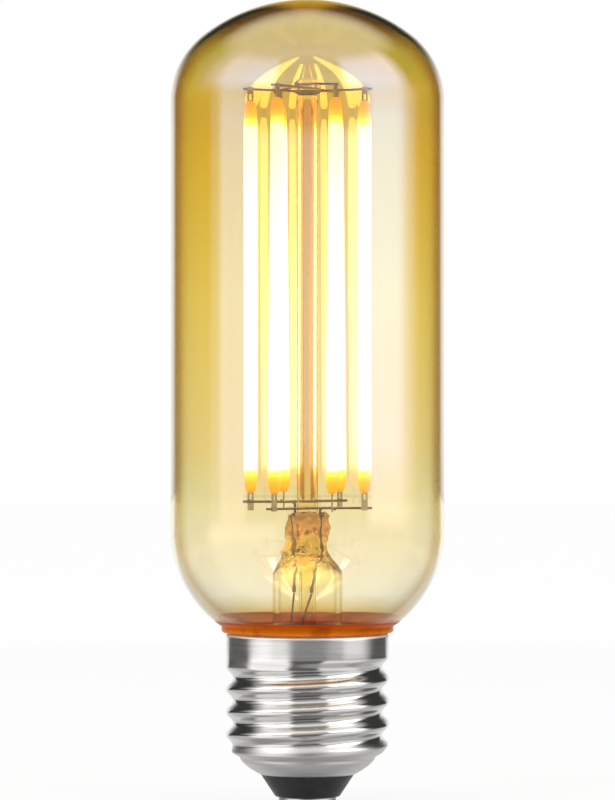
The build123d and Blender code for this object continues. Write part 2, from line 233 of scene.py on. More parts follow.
def make_grain_group():
    """Shared surface grain: stretched noise as a tone from 0 to 1, and a finer one as a height."""
    group = bpy.data.node_groups.new("surface grain", "ShaderNodeTree")
    face = group.interface
    face.new_socket("Stretch", in_out="INPUT", socket_type="NodeSocketVector")
    face.new_socket("Scale", in_out="INPUT", socket_type="NodeSocketFloat")
    face.new_socket("Fine Scale", in_out="INPUT", socket_type="NodeSocketFloat")
    face.new_socket("Tone", in_out="OUTPUT", socket_type="NodeSocketFloat")
    face.new_socket("Height", in_out="OUTPUT", socket_type="NodeSocketFloat")
    start = group.nodes.new("NodeGroupInput")
    end = group.nodes.new("NodeGroupOutput")
    place = group.nodes.new("ShaderNodeTexCoord")
    stretch = group.nodes.new("ShaderNodeMapping")
    broad = add(group, "ShaderNodeTexNoise", Detail=3.0, Roughness=0.55)
    fine = add(group, "ShaderNodeTexNoise", Detail=5.0, Roughness=0.6)
    wire_up(
        group,
        (place.outputs["Object"], stretch.inputs["Vector"]),
        (start.outputs["Stretch"], stretch.inputs["Scale"]),
        (stretch.outputs["Vector"], broad.inputs["Vector"]),
        (stretch.outputs["Vector"], fine.inputs["Vector"]),
        (start.outputs["Scale"], broad.inputs["Scale"]),
        (start.outputs["Fine Scale"], fine.inputs["Scale"]),
        (broad.outputs["Fac"], end.inputs["Tone"]),
        (fine.outputs["Fac"], end.inputs["Height"]),
    )
    return group


grain_group = make_grain_group()


def add_grain(tree, stretch, scale, fine_scale):
    """The shared grain with its own stretch and scales, as a tone and a height."""
    node = tree.nodes.new("ShaderNodeGroup")
    node.node_tree = grain_group
    node.inputs["Stretch"].default_value = stretch
    node.inputs["Scale"].default_value = scale
    node.inputs["Fine Scale"].default_value = fine_scale
    return node.outputs["Tone"], node.outputs["Height"]


def add_bump(tree, shader, height, strength, depth):
    bump = add(tree, "ShaderNodeBump", Strength=strength, Distance=depth)
    wire_up(tree, (height, bump.inputs["Height"]), (bump.outputs["Normal"], shader.inputs["Normal"]))


nickel, tree, shader = new_material("nickel plate", {"Metallic": 1.0})
spun, fine_lines = add_grain(tree, stretch=(1, 1, 40), scale=60.0, fine_scale=180.0)
tone = ramp(tree, spun, [(0.3, (0.60, 0.59, 0.57)), (0.7, (0.70, 0.69, 0.67))])
up_shell = height_share(tree, shell_z, rim_z)
satin = ramp(tree, up_shell, [
    (0.19, grey(0.42)), (0.25, grey(0.13)), (0.85, grey(0.13)),
    (0.9, grey(0.2)), (0.976, grey(0.2)), (0.984, grey(0.6)),
])
# Painted highlight: the top of the rim gets a whiter base colour, for the light line along its edge.
rim_painted_highlight = ramp(tree, up_shell, [(0.976, grey(0)), (0.984, grey(1))])
plate = mixed(tree, rim_painted_highlight, tone, (0.97, 0.96, 0.94, 1))
wire_up(tree, (plate, shader.inputs["Base Color"]), (satin, shader.inputs["Roughness"]))
add_bump(tree, shader, fine_lines, strength=0.12, depth=0.02 * mm)
shell.data.materials.append(nickel)


# Insulator: black glass, moulded hot into the hole of the shell as a blunt cone.
# It is turned from an outline, with soft pressed edges, and has a faint mottled sheen.
def turned(name, outline, sides, crease_deg=40):
    """Lathe work: an outline of (radius, height) points, extruded point by point and spun about Z."""
    r, z = outline[0]
    bpy.ops.object.select_all(action="DESELECT")
    bpy.ops.mesh.primitive_plane_add(size=mm, location=(r, 0, z))
    piece = bpy.context.object
    piece.name = name
    piece.data.name = name
    bpy.ops.object.transform_apply(location=True, rotation=True, scale=True)
    bpy.ops.object.mode_set(mode="EDIT")
    bpy.ops.mesh.select_mode(type="VERT")
    bpy.ops.mesh.select_all(action="SELECT")
    bpy.ops.mesh.merge(type="CENTER")
    for (r0, z0), (r1, z1) in zip(outline, outline[1:]):
        bpy.ops.mesh.extrude_vertices_move(TRANSFORM_OT_translate={"value": (r1 - r0, 0, z1 - z0)})
    bpy.ops.mesh.select_all(action="SELECT")
    bpy.ops.mesh.spin(steps=sides, angle=2 * math.pi, center=(0, 0, 0), axis=(0, 0, 1))
    finish_piece(piece, crease_deg)
    return piece


def arc(centre_r, centre_z, radius, start_deg, end_deg, steps):
    """Points along an arc in (radius, height), with angles from the outward direction upwards."""
    points = []
    for i in range(steps + 1):
        angle = math.radians(start_deg + (end_deg - start_deg) * i / steps)
        points.append((centre_r + radius * math.cos(angle), centre_z + radius * math.sin(angle)))
    return points


contact_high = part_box("centre_contact")[1]
contact_r = contact_high.x
contact_h = 1.2 * mm
rivet_r = 0.9 * mm
seat_gap = 0.05 * mm
seat_r = hole_r - shell_wall
seat_spread = 1.6 * mm
cone_foot_r = contact_r + 0.8 * mm
cone_top_r = hole_r - 0.2 * mm
cone_edge = 0.6 * mm
insulator_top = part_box("insulator")[1].z
cone = [(rivet_r, contact_h)]
cone += arc(cone_foot_r - cone_edge, contact_h + cone_edge, cone_edge, 270, 330, steps=6)
cone += [(cone_top_r, shell_z - seat_gap), (seat_r, shell_z - seat_gap), (seat_r, shell_z)]
cone += [(hole_r + seat_spread, insulator_top), (rivet_r, insulator_top)]
cone.append(cone[0])
cone_piece = turned("insulator_moulded", cone, sides=96, crease_deg=35)
dress(cone_piece, "black_glass", "insulator")

black_glass, tree, shader = new_material("black pressed glass", {"Specular IOR Level": 0.3})
mottle, pits = add_grain(tree, stretch=(1, 1, 1), scale=350.0, fine_scale=2600.0)
tone = ramp(tree, mottle, [(0.35, (0.012, 0.012, 0.013)), (0.7, (0.020, 0.020, 0.021))])
sheen = ramp(tree, mottle, [(0.3, grey(0.34)), (0.7, grey(0.46))])
wire_up(tree, (tone, shader.inputs["Base Color"]), (sheen, shader.inputs["Roughness"]))
add_bump(tree, shader, pits, strength=0.25, depth=0.02 * mm)
cone_piece.data.materials.append(black_glass)


# Centre contact: a tinned brass disc with a pressed ring, riveted through the insulator.
# Its flat is the foot that the lamp stands on.
disc_edge = 0.35 * mm
ring_r = 2.6 * mm
ring_w = 0.5 * mm
ring_depth = 0.18 * mm
disc = [(0, ring_depth / 2), (ring_r - ring_w, 0), (ring_r, ring_depth), (ring_r + ring_w, 0)]
disc += arc(contact_r - disc_edge, disc_edge, disc_edge, 270, 360, steps=6)
disc += [(contact_r, contact_h - seat_gap), (rivet_r, contact_h - seat_gap), (rivet_r, contact_high.z)]
disc += [(0, contact_high.z)]
disc_piece = turned("centre_contact_disc", disc, sides=72, crease_deg=35)
dress(disc_piece, "contact_metal", "centre_contact")

tinned, tree, shader = new_material("tinned brass", {"Metallic": 1.0})
blotch, dips = add_grain(tree, stretch=(1, 1, 1), scale=420.0, fine_scale=1500.0)
tone = ramp(tree, blotch, [(0.35, (0.56, 0.55, 0.52)), (0.65, (0.70, 0.69, 0.66))])
dull = ramp(tree, blotch, [(0.3, grey(0.28)), (0.7, grey(0.45))])
wire_up(tree, (tone, shader.inputs["Base Color"]), (dull, shader.inputs["Roughness"]))
add_bump(tree, shader, dips, strength=0.3, depth=0.03 * mm)
disc_piece.data.materials.append(tinned)


def plain_grained(name, dark, light, rough, scale, metallic=0.0):
    """A mottled surface between two tones, for the small parts."""
    material, tree, shader = new_material(name, {"Metallic": metallic})
    speckle, specks = add_grain(tree, (1, 1, 1), scale, scale * 4)
    tone = ramp(tree, speckle, [(0.35, dark), (0.65, light)])
    dull = ramp(tree, specks, [(0.3, grey(rough * 0.85)), (0.7, grey(rough * 1.15))])
    wire_up(tree, (tone, shader.inputs["Base Color"]), (dull, shader.inputs["Roughness"]))
    add_bump(tree, shader, specks, strength=0.2, depth=0.02 * mm)
    return material


def repaint(material, *names):
    """Gives CAD nodes a finish in place of their plain one."""
    for name in names:
        slots = nodes[name].data.materials
        slots.clear()
        slots.append(material)


laminate = plain_grained("board laminate", (0.10, 0.20, 0.09), (0.14, 0.26, 0.12), rough=0.5, scale=500.0)
moulding = plain_grained("chip moulding", (0.02, 0.02, 0.02), (0.04, 0.04, 0.04), rough=0.55, scale=900.0)
can_sleeve = plain_grained("can sleeve", (0.03, 0.04, 0.08), (0.05, 0.06, 0.12), rough=0.35, scale=300.0)
lacquer = plain_grained("resistor lacquer", (0.28, 0.36, 0.42), (0.36, 0.45, 0.52), rough=0.45, scale=400.0)
copper = plain_grained("browned copper", (0.30, 0.13, 0.06), (0.44, 0.22, 0.12),
                       rough=0.35, scale=700.0, metallic=1.0)
repaint(laminate, "driver_board")
repaint(moulding, "rectifier", "driver_chip")
repaint(can_sleeve, "smoothing_capacitor")
repaint(lacquer, "fuse_resistor")
repaint(copper, "contact_lead", "shell_lead", "outer_lead_right", "outer_lead_left")


# Basing cement: a thin ring of pale baked resin that holds the glass neck in the collar.
# It shows as a light line between the metal rim and the glass lip.
cement = plain_grained("baked cement", (0.62, 0.58, 0.52), (0.78, 0.75, 0.70), rough=0.75, scale=800.0)
repaint(cement, "basing_cement")


# Glass stem: a tube flared out into the neck and pinched to a solid press round the leads.
# It is raised ring by ring, outside first and then the hollow inside, from warm clear glass.
# The pinching left folds in the press. A painted glow in patches on the press and shoulder stands in for the
# filaments' light that the folds catch.
flare_low, flare_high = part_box("stem_flare")
flare_r = flare_high.x
press_top_z = flare_high.z
press_h = 6.1 * mm
stem_shoulder_h = 4.0 * mm
press_z = press_top_z - press_h
tube_top_z = press_z - stem_shoulder_h
stem_wall = 0.9 * mm
flare_z = flare_low.z + stem_wall
tube_r = 5.6 * mm
flare_bend = 1.6 * mm
bend_r = tube_r + flare_bend
bend_z = flare_z + flare_bend
press_half_w = 3.45 * mm
press_half_t = 2.3 * mm
press_edge = 0.7 * mm
hollow_share = 0.8
stem_sides = 96
fold_size = 3.0 * mm
fold_depth = 2.4 * mm


def straight(start, end, steps):
    """Points along a straight run after its start, close enough for even shading."""
    (r0, z0), (r1, z1) = start, end
    return [(r0 + (r1 - r0) * i / steps, z0 + (z1 - z0) * i / steps) for i in range(1, steps + 1)]


def pinch(radius, inset, share_of_h, steps):
    """Rings that flatten from the tube into the press, up to a share of the shoulder's height."""
    rings = []
    for i in range(1, steps + 1):
        share = smooth_step(i / steps * share_of_h)
        half_w = radius + (press_half_w - inset - radius) * share
        half_t = radius + (press_half_t - inset - radius) * share
        rings.append((half_w, half_t, tube_top_z + stem_shoulder_h * share_of_h * i / steps))
    return rings


def stem_outside():
    """Rings of the stem's outside as (half width, half thickness, height), from the rim upwards."""
    rings = [(flare_r, flare_r, flare_z)]
    rings += [(r, r, z) for r, z in arc(bend_r, bend_z, flare_bend, 270, 180, steps=12)]
    rings += [(r, r, z) for r, z in straight((tube_r, bend_z), (tube_r, tube_top_z), steps=16)]
    rings += pinch(tube_r, inset=0, share_of_h=1, steps=20)
    straight_top = (press_half_w, press_top_z - press_edge)
    press_side = straight((press_half_w, press_z), straight_top, steps=12)
    rings += [(press_half_w, press_half_t, z) for _, z in press_side]
    for _, inset_z in arc(0, 0, press_edge, 0, 90, steps=6)[1:]:
        inset = press_edge - math.sqrt(max(0, press_edge ** 2 - inset_z ** 2))
        rings.append((press_half_w - inset, press_half_t - inset, press_top_z - press_edge + inset_z))
    return rings


def stem_inside():
    """Rings of the hollow, from the flare's underside up to its roof below the press."""
    bore = tube_r - stem_wall
    rings = [(flare_r, flare_r, flare_z - stem_wall)]
    rings += [(r, r, z) for r, z in arc(bend_r, bend_z, flare_bend + stem_wall, 270, 180, steps=12)]
    rings += [(r, r, z) for r, z in straight((bore, bend_z), (bore, tube_top_z), steps=16)]
    rings += pinch(bore, stem_wall, hollow_share, steps=16)
    return rings


def raise_rings(rings):
    """Extrudes the selected ring through each of the rings in turn."""
    for (w0, t0, z0), (w1, t1, z1) in zip(rings, rings[1:]):
        next_ring((0, 0, z1 - z0), (w1 / w0, t1 / t0, 1), (0, 0, z1))


stem = start_ring("stem_flare_glass", flare_r, flare_z, stem_sides)
raise_rings(stem_outside())
bpy.ops.mesh.edge_face_add()
bpy.ops.mesh.select_all(action="DESELECT")
bpy.ops.object.mode_set(mode="OBJECT")
for vertex in stem.data.vertices:
    on_rim = math.hypot(vertex.co.x, vertex.co.y) > flare_r - 1e-6
    vertex.select = on_rim and abs(vertex.co.z - flare_z) < 1e-7
bpy.ops.object.mode_set(mode="EDIT")
raise_rings([(flare_r, flare_r, flare_z)] + stem_inside())
bpy.ops.mesh.edge_face_add()
finish_piece(stem, crease_deg=50)
pinched_part = stem.vertex_groups.new(name="pinched part")
for vertex in stem.data.vertices:
    pinched_part.add([vertex.index], smooth_step((vertex.co.z - tube_top_z) / stem_shoulder_h), "REPLACE")
folds = bpy.data.textures.new("pinched folds", "CLOUDS")
folds.noise_scale = fold_size
apply_modifier(stem, "DISPLACE", texture=folds, texture_coords="LOCAL", vertex_group="pinched part",
               strength=fold_depth, mid_level=0.5)
stem.vertex_groups.clear()
dress(stem, "stem_glass", "stem_flare")


def maths(tree, operation, first, second):
    node = add(tree, "ShaderNodeMath", operation=operation)
    feed(tree, first, node.inputs[0])
    feed(tree, second, node.inputs[1])
    return node.outputs["Value"]


def multiplied(tree, first, second):
    """One colour times another."""
    return mixed(tree, 1.0, first, second, "MULTIPLY")


stem_glass, tree, shader = new_material("stem glass", {
    "Transmission Weight": 1.0, "IOR": 1.5, "Roughness": 0.01, "Emission Strength": 0.25,
})
up_stem = height_share(tree, flare_low.z, press_top_z)
tint = ramp(tree, up_stem, [
    (0.0, (0.80, 0.30, 0.03)), (0.06, (0.86, 0.42, 0.06)), (0.13, (0.96, 0.86, 0.58)),
    (0.3, (0.97, 0.93, 0.78)), (0.5, (0.98, 0.91, 0.62)), (0.72, (0.92, 0.60, 0.12)),
    (0.9, (0.72, 0.38, 0.09)), (0.97, (0.66, 0.36, 0.1)), (1.0, (0.93, 0.76, 0.42)),
])
# Partly painted shade: the tint browns towards the stem's edges, much more than the longer path through the
# glass would give.
facing = add(tree, "ShaderNodeLayerWeight", Blend=0.5)
edges = ramp(tree, facing.outputs["Facing"], [
    (0.5, grey(1)), (0.64, (0.68, 0.52, 0.28)), (0.8, (0.50, 0.34, 0.14)),
])
lumps, _ = add_grain(tree, stretch=(1, 1, 0.7), scale=260.0, fine_scale=420.0)
pinched = ramp(tree, up_stem, [(0.45, grey(0)), (0.6, grey(1)), (0.97, grey(1)), (1.0, grey(0))])
# Painted glow: the press and shoulder emit a warm colour in patches, though the glass is no lamp.
painted_glow_colour = ramp(tree, up_stem, [
    (0.38, grey(0)), (0.52, (1.0, 0.84, 0.38)), (0.75, (0.95, 0.62, 0.16)),
    (0.92, (0.25, 0.12, 0.02)), (1.0, grey(0)),
])
painted_glow_patches = ramp(tree, lumps, [(0.42, grey(0.1)), (0.62, grey(1))])
wire_up(
    tree,
    (multiplied(tree, tint, edges), shader.inputs["Base Color"]),
    (multiplied(tree, painted_glow_colour, painted_glow_patches), shader.inputs["Emission Color"]),
)
add_bump(tree, shader, maths(tree, "MULTIPLY", lumps, pinched), strength=0.6, depth=0.6 * mm)
stem.data.materials.append(stem_glass)


# Exhaust tube: the thin glass tube through which the lamp was pumped and filled.
# It hangs from the press into the cap, and its tip is melted shut.
pump_low, pump_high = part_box("exhaust_tube")
pump_r = pump_high.x
pump_bore = pump_r - 0.45 * mm
pump_tip_z = pump_low.z + pump_r
pump = [(0, pump_low.z)] + arc(0, pump_tip_z, pump_r, 280, 360, steps=8)
pump += straight((pump_r, pump_tip_z), (pump_r, pump_high.z), steps=16)
pump.append((pump_bore, pump_high.z))
pump += straight((pump_bore, pump_high.z), (pump_bore, pump_tip_z), steps=16)[:-1]
pump += arc(0, pump_tip_z, pump_bore, 360, 280, steps=8) + [(0, pump_tip_z - pump_bore)]
pump_piece = turned("exhaust_tube_glass", pump, sides=48)
dress(pump_piece, "stem_glass", "exhaust_tube")
pump_piece.data.materials.append(stem_glass)


# Centre post: a solid glass rod on the press, its top melted to a bead round the bridge wires.
# It is turned in one outline, with the bead's soft shoulders. The bead is paler than the rod, and has a
# faint painted glow.
post_low, post_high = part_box("centre_post")
post_r = 1.7 * mm
bead_r = post_high.x
bead_edge = 0.9 * mm
bead_top_z = post_high.z
bead_low_z = bead_top_z - 2.7 * mm
bead_neck_z = bead_low_z - 0.6 * mm
post = [(0, post_low.z), (post_r, post_low.z)]
post += straight((post_r, post_low.z), (post_r, bead_neck_z), steps=40)
post += arc(bead_r - bead_edge, bead_low_z + bead_edge, bead_edge, 285, 360, steps=8)
post += arc(bead_r - bead_edge, bead_top_z - bead_edge, bead_edge, 0, 90, steps=8)
post += [(0, bead_top_z)]
post_piece = turned("centre_post_glass", post, sides=64, crease_deg=50)
dress(post_piece, "stem_glass", "centre_post")

# Painted glow: the bead glass emits a little warm light, though it is no lamp.
bead_glass, tree, shader = new_material("bead glass", {
    "Base Color": (0.98, 0.92, 0.74, 1), "Transmission Weight": 1.0, "IOR": 1.2,
    "Emission Color": (1.0, 0.84, 0.5, 1), "Emission Strength": 0.12,
})
swirl, _ = add_grain(tree, stretch=(1, 1, 2), scale=300.0, fine_scale=900.0)
melted = ramp(tree, swirl, [(0.3, grey(0.02)), (0.7, grey(0.12))])
wire_up(tree, (melted, shader.inputs["Roughness"]))
post_piece.data.materials.append(stem_glass)
post_piece.data.materials.append(bead_glass)
for face in post_piece.data.polygons:
    if face.center.z > bead_neck_z:
        face.material_index = 1


# Support wires, tabs and leads: nickel-iron wire and strip, spot welded, with a heat-browned skin.
# They keep their CAD form.
ring_names = ["right", "back_right", "back_left", "left", "front_left", "front_right"]
wire_metal = plain_grained("browned wire", (0.23, 0.14, 0.08), (0.38, 0.26, 0.17),
                           rough=0.38, scale=900.0, metallic=1.0)
tab_metal = plain_grained("tab strip", (0.46, 0.40, 0.33), (0.62, 0.56, 0.48),
                          rough=0.32, scale=700.0, metallic=1.0)
repaint(wire_metal, "inner_lead_right", "inner_lead_left", "branch_wire_front", "branch_wire_back",
        "bridge_wire_right", "bridge_wire_back_right", "bridge_wire_back_left")
for name in ring_names:
    repaint(tab_metal, "lower_tab_" + name, "upper_tab_" + name)


# Filaments: glass strips of light-emitting chips, coated all round with phosphor and lit.
# One is turned with bullet ends and copied to the ring. Its ends hold no chips, so they glow orange.
filament_low, filament_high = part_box("filament_right")
filament_len = filament_high.z - filament_low.z
filament_r = 1.05 * mm
filament_end = 2.7 * mm
tip_r = 0.45 * mm
bullet_steps = 10
lower_half = [(0, -filament_len / 2)]
for i in range(bullet_steps + 1):
    t = i / bullet_steps
    r = tip_r + (filament_r - tip_r) * math.sqrt(1 - (1 - t) ** 2)
    lower_half.append((r, filament_end * t - filament_len / 2))
upper_half = [(r, -z) for r, z in reversed(lower_half)]
strip = turned("filament_strip", lower_half + upper_half, sides=32, crease_deg=50)

phosphor, tree, shader = new_material("lit phosphor", {"Emission Strength": 4.8, "Roughness": 0.6})
along = height_share(tree, filament_low.z, filament_high.z)
end_share = filament_end / filament_len
chip_light = (0.87, 0.81, 1.0)
glow = ramp(tree, along, [
    (0.0, (1.0, 0.40, 0.0)), (end_share * 0.6, (1.0, 0.46, 0.0)), (end_share * 1.2, (1.0, 0.74, 0.10)),
    (end_share * 1.7, chip_light), (1 - end_share * 1.7, chip_light),
    (1 - end_share * 1.2, (1.0, 0.72, 0.08)), (1 - end_share * 0.6, (1.0, 0.46, 0.0)),
    (1.0, (1.0, 0.40, 0.0)),
])
power = ramp(tree, along, [
    (0.0, grey(0.14)), (end_share, grey(0.21)), (end_share * 1.5, grey(1)),
    (1 - end_share * 1.5, grey(1)), (1 - end_share, grey(0.25)), (1.0, grey(0.2)),
])
lit = multiplied(tree, glow, power)

# Painted reflection: for rays mirrored in the glass, a filament's upper end is given an even chip colour
# that runs on into the crown. Its glow is made weak where it is mirrored twice, or in the cap's thread.
path = tree.nodes.new("ShaderNodeLightPath")
mirrored = maths(tree, "GREATER_THAN", path.outputs["Glossy Depth"], 0.5)
twice = maths(tree, "GREATER_THAN", path.outputs["Glossy Depth"], 1.5)
shallow = maths(tree, "LESS_THAN", path.outputs["Transmission Depth"], 2.5)
from_cap = maths(tree, "MULTIPLY", mirrored, shallow)
in_thread = maths(tree, "MULTIPLY", from_cap, path.outputs["Is Transmission Ray"])
weak = maths(tree, "MAXIMUM", in_thread, twice)
kept = span(tree, weak, 0, 1, to_low=1.0, to_high=0.2)
near_top = ramp(tree, along, [(0.45, grey(0)), (0.55, grey(1))])
mirrored_top = maths(tree, "MULTIPLY", mirrored, near_top)
even = mixed(tree, mirrored_top, lit, (*chip_light, 1))
wire_up(
    tree,
    (multiplied(tree, even, kept), shader.inputs["Emission Color"]),
    (glow, shader.inputs["Base Color"]),
)
strip.data.materials.append(phosphor)
for name in ring_names:
    foot_low, foot_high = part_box("lower_tab_" + name)
    top_low, top_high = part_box("upper_tab_" + name)
    lean = (top_low + top_high - foot_low - foot_high) / 2
    bpy.ops.object.select_all(action="DESELECT")
    strip.select_set(True)
    bpy.context.view_layer.objects.active = strip
    bpy.ops.object.duplicate()
    light_rod = bpy.context.object
    light_rod.name = "filament_lit_" + name
    light_rod.data.name = light_rod.name
    light_rod.rotation_euler = lean.to_track_quat("Z", "Y").to_euler()
    middle = (foot_low + foot_high + top_low + top_high) / 4
    middle.z = (filament_low.z + filament_high.z) / 2
    light_rod.location = middle
    bpy.ops.object.transform_apply(location=True, rotation=True, scale=True)
    dress(light_rod, "lit_phosphor", "filament_" + name)
bpy.data.objects.remove(strip)


# Glass envelope: blown soda glass, a domed crown, a straight wall, a rounded base and a thick lip.
# Its amber film is thicker towards the crown. Outside it mirrors like a thin coat on glass.
# The wall is one closed outline, outside and inside, turned about the axis.
glass_low, glass_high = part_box("glass_envelope")
glass_r = min(-glass_low.x, glass_high.y)
glass_wall = 0.8 * mm
glass_bore = glass_r - glass_wall
crown_r = glass_r + 5.2 * mm
crown_z = glass_high.z - crown_r
pole_deg = 89
knuckle_r = 13.6 * mm
knuckle_x = glass_r - knuckle_r
knuckle_z = crown_z + math.sqrt((crown_r - knuckle_r) ** 2 - knuckle_x ** 2)
crown_turn = math.degrees(math.atan2(knuckle_z - crown_z, knuckle_x))
lip_r = 13.76 * mm
lip_edge = 0.45 * mm
lip_z = rim_z + 0.15 * mm
lip_h = 1.0 * mm
neck_bore_r = flare_r + seat_gap
neck_r = neck_bore_r + 1.1 * mm
base_r = 18.9 * mm
base_x = glass_r - base_r
base_turn = math.degrees(math.acos((lip_r - base_x) / base_r))
base_z = lip_z + lip_h + base_r * math.sin(math.radians(base_turn))
inner_turn = math.degrees(math.acos((neck_bore_r - base_x) / (base_r - glass_wall)))
envelope = [(0, glass_high.z)]
envelope += arc(0, crown_z, crown_r, pole_deg, crown_turn, steps=16)
envelope += arc(knuckle_x, knuckle_z, knuckle_r, crown_turn, 0, steps=20)[1:]
envelope += straight((glass_r, knuckle_z), (glass_r, base_z), steps=24)[:-1]
envelope += arc(base_x, base_z, base_r, 0, -base_turn, steps=24)
envelope += arc(lip_r - lip_edge, lip_z + lip_edge, lip_edge, 0, -90, steps=6)
envelope += [(neck_r, lip_z), (neck_r, glass_low.z), (neck_bore_r, glass_low.z)]
envelope += arc(base_x, base_z, base_r - glass_wall, -inner_turn, 0, steps=24)
envelope += straight((glass_bore, base_z), (glass_bore, knuckle_z), steps=24)[:-1]
envelope += arc(knuckle_x, knuckle_z, knuckle_r - glass_wall, 0, crown_turn, steps=20)
envelope += arc(0, crown_z, crown_r - glass_wall, crown_turn, pole_deg, steps=16)[1:]
envelope += [(0, glass_high.z - glass_wall)]
glass = turned("glass_envelope_blown", envelope, sides=192, crease_deg=50)
dress(glass, "amber_glass", "glass_envelope")


def amber_material(name, film_nm, most_coat, coat_rough, coat_ior):
    """Amber glass, its tint by height and deeper at a slant: partly the longer path through the film, partly
    painted shade. Lamp rays pass it straight, tinted.
    """
    material, tree, shader = new_material(name, {
        "Transmission Weight": 1.0, "IOR": 1.5, "Roughness": 0.0, "Thin Film Thickness": film_nm,
        "Coat Roughness": coat_rough, "Coat IOR": coat_ior,
    })
    up = height_share(tree, lip_z, glass_high.z)
    tint = ramp(tree, up, [
        (0.0, (0.88, 0.40, 0.04)), (0.010, (0.86, 0.36, 0.03)), (0.024, (0.90, 0.72, 0.35)),
        (0.05, (1.0, 0.97, 0.84)), (0.114, (0.99, 0.93, 0.74)), (0.288, (1.0, 0.89, 0.555)),
        (0.525, (0.985, 0.877, 0.38)), (0.76, (0.935, 0.778, 0.178)), (0.86, (0.86, 0.71, 0.2)),
        (1.0, (0.775, 0.70, 0.29)),
    ])
    streaks, _ = add_grain(tree, stretch=(1, 1, 0.06), scale=90.0, fine_scale=300.0)
    film = multiplied(tree, tint, ramp(tree, streaks, [(0.3, (0.96, 0.95, 0.92)), (0.7, grey(1))]))
    # Partly painted shade: in a band of slants the tint deepens, to dark brown just below the crown, and it
    # comes back at grazing.
    facing = add(tree, "ShaderNodeLayerWeight", Blend=0.5)
    slant = ramp(tree, facing.outputs["Facing"], [
        (0.56, grey(0)), (0.64, grey(0.6)), (0.70, grey(1)),
        (0.77, grey(1)), (0.84, grey(0.2)), (0.92, grey(0)),
    ])
    deeper = ramp(tree, up, [
        (0.0, (0.9, 0.75, 0.5)), (0.3, (0.85, 0.68, 0.3)), (0.76, (0.95, 0.75, 0.12)),
        (0.92, (0.85, 0.5, 0.05)), (0.955, (0.3, 0.1, 0.005)), (0.976, (0.3, 0.1, 0.005)),
        (0.99, (0.85, 0.55, 0.05)), (1.0, (0.9, 0.62, 0.06)),
    ])
    fade = ramp(tree, up, [
        (0.0, grey(0)), (0.114, grey(0.06)), (0.29, grey(0.8)), (0.55, grey(0.95)),
        (0.8, grey(1)), (0.88, grey(0.7)), (0.95, grey(0.45)), (1.0, grey(0.3)),
    ])
    through = tree.nodes.new("ShaderNodeBsdfTransparent")
    path = tree.nodes.new("ShaderNodeLightPath")
    blend = tree.nodes.new("ShaderNodeMixShader")
    wire_up(
        tree,
        (mixed(tree, slant, film, deeper, "MULTIPLY"), shader.inputs["Base Color"]),
        (span(tree, fade, 0, 1, to_low=1.5, to_high=2.3), shader.inputs["Thin Film IOR"]),
        (span(tree, fade, 0, 1, to_low=most_coat * 0.05, to_high=most_coat), shader.inputs["Coat Weight"]),
        (film, through.inputs["Color"]),
        (path.outputs["Is Shadow Ray"], blend.inputs["Fac"]),
        (shader.outputs["BSDF"], blend.inputs[1]),
        (through.outputs["BSDF"], blend.inputs[2]),
        (blend.outputs["Shader"], tree.nodes["Material Output"].inputs["Surface"]),
    )
    return material


lip_glass, tree, shader = new_material("amber lip", {
    "Transmission Weight": 0.5, "IOR": 1.15, "Specular IOR Level": 0.2, "Roughness": 0.3,
})
lip_shade_h = 2.2 * mm
up_lip = height_share(tree, lip_z, lip_z + lip_shade_h)
# The lip's colour is partly its amber and partly painted light: a painted glow, brightest at the bottom, for
# the filaments' light carried in the glass, and painted shade in the dark red band higher up. Dark red
# patches lie over it at random.
amber = ramp(tree, up_lip, [
    (0.0, (1.0, 0.33, 0.01)), (0.45, (0.82, 0.18, 0.0)), (0.8, (0.46, 0.05, 0.0)), (1.0, (0.80, 0.34, 0.02)),
])
streaks, _ = add_grain(tree, stretch=(1, 1, 0.5), scale=220.0, fine_scale=900.0)
patches = ramp(tree, streaks, [(0.5, grey(0)), (0.66, grey(0.75))])
patched_lip_glow_and_shade = mixed(tree, patches, amber, (0.42, 0.05, 0.0, 1))
wire_up(tree, (patched_lip_glow_and_shade, shader.inputs["Base Color"]))
add_bump(tree, shader, streaks, strength=0.2, depth=0.1 * mm)

outside_glass = amber_material("amber glass outside", film_nm=146.0, most_coat=1.0,
                               coat_rough=0.02, coat_ior=1.75)
inside_glass = amber_material("amber glass inside", film_nm=0.0, most_coat=0.3,
                              coat_rough=0.3, coat_ior=1.5)
outside, inside, lip = 0, 1, 2
glass.data.materials.append(outside_glass)
glass.data.materials.append(inside_glass)
glass.data.materials.append(lip_glass)
middle_z = (glass_low.z + glass_high.z) / 2
lip_top = lip_z + 1.9 * mm
for face in glass.data.polygons:
    outward = face.center.copy()
    outward.z -= middle_z
    face.material_index = outside if face.normal.dot(outward) > 0 else inside
    if face.material_index == outside and face.center.z < lip_top:
        face.material_index = lip


# Floor: a pale matt table, which stays white to the camera and keeps a soft shadow.
# Seen through the glass it is dimmer under the lamp than farther away: a painted shade in its glow.
table_size = 4
dim_r = 0.1
clear_r = 0.5
bpy.ops.object.select_all(action="DESELECT")
bpy.ops.mesh.primitive_plane_add(size=table_size, location=(0, 0, 0))
floor = bpy.context.object
floor.name = "floor"
floor.visible_glossy = False
pale, tree, shader = new_material("pale table", {"Base Color": (0.9, 0.9, 0.9, 1), "Roughness": 0.9})
white = tree.nodes.new("ShaderNodeEmission")
place = tree.nodes.new("ShaderNodeTexCoord")
away = add(tree, "ShaderNodeVectorMath", operation="LENGTH")
path = tree.nodes.new("ShaderNodeLightPath")
blend = tree.nodes.new("ShaderNodeMixShader")
